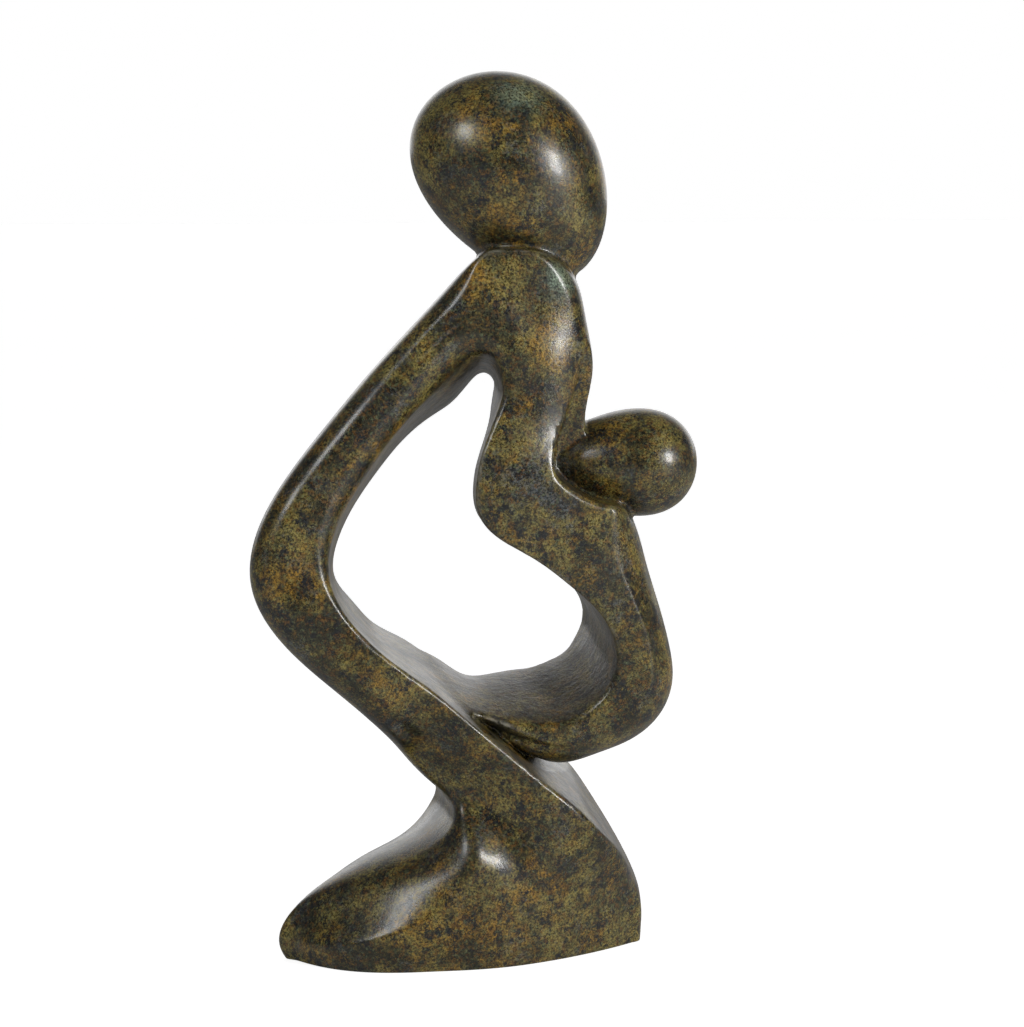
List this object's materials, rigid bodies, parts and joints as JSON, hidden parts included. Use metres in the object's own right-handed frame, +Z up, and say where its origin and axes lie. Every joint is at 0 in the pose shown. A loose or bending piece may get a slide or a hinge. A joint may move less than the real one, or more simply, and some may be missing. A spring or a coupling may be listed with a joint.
{
  "type": "mother and child sculpture",
  "caption": "Abstract faceless mother kneeling and holding a child, carved from one dark mottled stone with one large opening between them.",
  "frame": {"origin": "middle of the bounding box on the flat underside", "axes": "+Z up, +X toward the side the mother and child face, Y across the thickness of the block"},
  "size_m": [0.1563, 0.063, 0.2999],
  "materials": {
    "stone": "polished and waxed, mottled olive, brown and blue-black"
  },
  "bodies": {
    "root": {"mother_and_child": "stone"}
  },
  "joints": []
}
